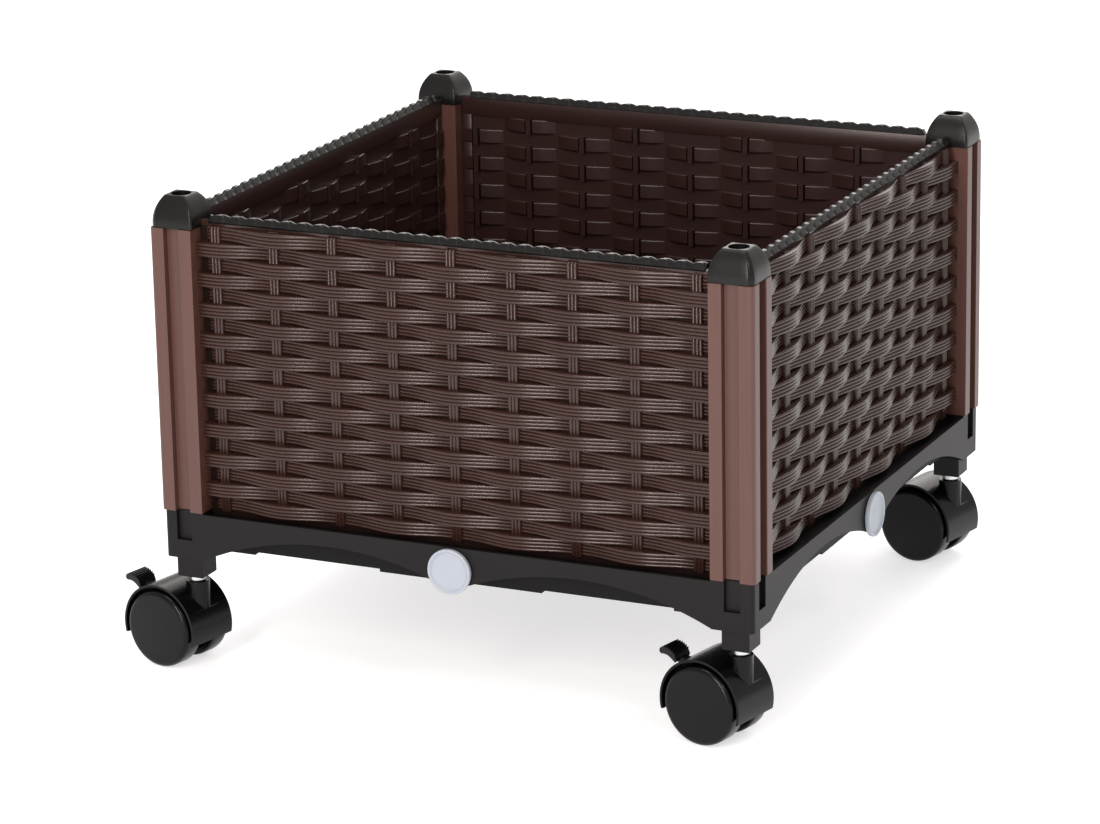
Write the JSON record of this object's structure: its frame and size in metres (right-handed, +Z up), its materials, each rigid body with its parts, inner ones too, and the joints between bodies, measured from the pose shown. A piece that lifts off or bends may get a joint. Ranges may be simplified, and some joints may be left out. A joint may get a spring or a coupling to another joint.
{
  "type": "rolling planter",
  "caption": "Square raised planter with woven-look panels, corner posts, caps with pole holes, a skirted tray with drain plugs, and braked twin-wheel casters.",
  "frame": {"origin": "on the floor, under the middle of the square that the four posts make", "axes": "+Z up; -Y is the front, the side at the left of the picture's near corner post; +X is the right-hand side; the casters trail towards -X, turned 12 degrees"},
  "size_m": [0.4448, 0.4195, 0.307],
  "materials": {
    "moulded_black": "moulded, satin",
    "caster_black": "moulded, semi-gloss",
    "wheel_black": "moulded, fine satin",
    "weave_brown": "moulded woven look, satin",
    "post_brown": "extruded, matt",
    "plug_white": "moulded, slightly translucent",
    "steel": "bright plated"
  },
  "bodies": {
    "planter": {"base_tray": "moulded_black", "panel_front": "weave_brown", "panel_right": "weave_brown", "panel_back": "weave_brown", "panel_left": "weave_brown", "trim_front": "moulded_black", "trim_right": "moulded_black", "trim_back": "moulded_black", "trim_left": "moulded_black", "post_fl": "post_brown", "post_fr": "post_brown", "post_br": "post_brown", "post_bl": "post_brown", "cap_fl": "moulded_black", "cap_fr": "moulded_black", "cap_br": "moulded_black", "cap_bl": "moulded_black", "leg_fl": "moulded_black", "leg_fr": "moulded_black", "leg_br": "moulded_black", "leg_bl": "moulded_black", "stem_fl": "steel", "stem_fr": "steel", "stem_br": "steel", "stem_bl": "steel"},
    "caster_fl": {"hood_fl": "caster_black", "axle_fl": "steel", "brake_pin_fl": "steel"},
    "wheel_fl_near": {"wheel_fl_near": "wheel_black"},
    "wheel_fl_far": {"wheel_fl_far": "wheel_black"},
    "caster_fr": {"hood_fr": "caster_black", "axle_fr": "steel", "brake_pin_fr": "steel"},
    "wheel_fr_near": {"wheel_fr_near": "wheel_black"},
    "wheel_fr_far": {"wheel_fr_far": "wheel_black"},
    "caster_br": {"hood_br": "caster_black", "axle_br": "steel"},
    "wheel_br_near": {"wheel_br_near": "wheel_black"},
    "wheel_br_far": {"wheel_br_far": "wheel_black"},
    "caster_bl": {"hood_bl": "caster_black", "axle_bl": "steel"},
    "wheel_bl_near": {"wheel_bl_near": "wheel_black"},
    "wheel_bl_far": {"wheel_bl_far": "wheel_black"},
    "brake_pedal_fl": {"brake_pedal_fl": "caster_black"},
    "brake_pedal_fr": {"brake_pedal_fr": "caster_black"},
    "drain_plug_front": {"drain_plug_front": "plug_white"},
    "drain_plug_right": {"drain_plug_right": "plug_white"},
    "drain_plug_back": {"drain_plug_back": "plug_white"},
    "drain_plug_left": {"drain_plug_left": "plug_white"}
  },
  "joints": [
    {"name": "swivel_fl", "type": "hinge", "parent": "planter", "child": "caster_fl", "pos_m": [-0.185, -0.185, 0.05], "axis": [0, 0, 1], "continuous": true},
    {"name": "roll_fl_near", "type": "hinge", "parent": "caster_fl", "child": "wheel_fl_near", "pos_m": [-0.20261, -0.18126, 0.025], "axis": [-0.2079, -0.9781, 0], "continuous": true},
    {"name": "roll_fl_far", "type": "hinge", "parent": "caster_fl", "child": "wheel_fl_far", "pos_m": [-0.20261, -0.18126, 0.025], "axis": [-0.2079, -0.9781, 0], "continuous": true},
    {"name": "swivel_fr", "type": "hinge", "parent": "planter", "child": "caster_fr", "pos_m": [0.185, -0.185, 0.05], "axis": [0, 0, 1], "continuous": true},
    {"name": "roll_fr_near", "type": "hinge", "parent": "caster_fr", "child": "wheel_fr_near", "pos_m": [0.16739, -0.18126, 0.025], "axis": [-0.2079, -0.9781, 0], "continuous": true},
    {"name": "roll_fr_far", "type": "hinge", "parent": "caster_fr", "child": "wheel_fr_far", "pos_m": [0.16739, -0.18126, 0.025], "axis": [-0.2079, -0.9781, 0], "continuous": true},
    {"name": "swivel_br", "type": "hinge", "parent": "planter", "child": "caster_br", "pos_m": [0.185, 0.185, 0.05], "axis": [0, 0, 1], "continuous": true},
    {"name": "roll_br_near", "type": "hinge", "parent": "caster_br", "child": "wheel_br_near", "pos_m": [0.16739, 0.18874, 0.025], "axis": [-0.2079, -0.9781, 0], "continuous": true},
    {"name": "roll_br_far", "type": "hinge", "parent": "caster_br", "child": "wheel_br_far", "pos_m": [0.16739, 0.18874, 0.025], "axis": [-0.2079, -0.9781, 0], "continuous": true},
    {"name": "swivel_bl", "type": "hinge", "parent": "planter", "child": "caster_bl", "pos_m": [-0.185, 0.185, 0.05], "axis": [0, 0, 1], "continuous": true},
    {"name": "roll_bl_near", "type": "hinge", "parent": "caster_bl", "child": "wheel_bl_near", "pos_m": [-0.20261, 0.18874, 0.025], "axis": [-0.2079, -0.9781, 0], "continuous": true},
    {"name": "roll_bl_far", "type": "hinge", "parent": "caster_bl", "child": "wheel_bl_far", "pos_m": [-0.20261, 0.18874, 0.025], "axis": [-0.2079, -0.9781, 0], "continuous": true},
    {"name": "brake_fl", "type": "hinge", "parent": "caster_fl", "child": "brake_pedal_fl", "pos_m": [-0.21043, -0.17959, 0.041], "axis": [-0.2079, -0.9781, 0], "range_deg": [0, 14]},
    {"name": "brake_fr", "type": "hinge", "parent": "caster_fr", "child": "brake_pedal_fr", "pos_m": [0.15957, -0.17959, 0.041], "axis": [-0.2079, -0.9781, 0], "range_deg": [0, 14]},
    {"name": "drain_pull_front", "type": "slide", "parent": "planter", "child": "drain_plug_front", "axis": [0, -1, 0], "range_m": [0, 0.018]},
    {"name": "drain_pull_right", "type": "slide", "parent": "planter", "child": "drain_plug_right", "axis": [1, 0, 0], "range_m": [0, 0.018]},
    {"name": "drain_pull_back", "type": "slide", "parent": "planter", "child": "drain_plug_back", "axis": [0, 1, 0], "range_m": [0, 0.018]},
    {"name": "drain_pull_left", "type": "slide", "parent": "planter", "child": "drain_plug_left", "axis": [-1, 0, 0], "range_m": [0, 0.018]}
  ]
}
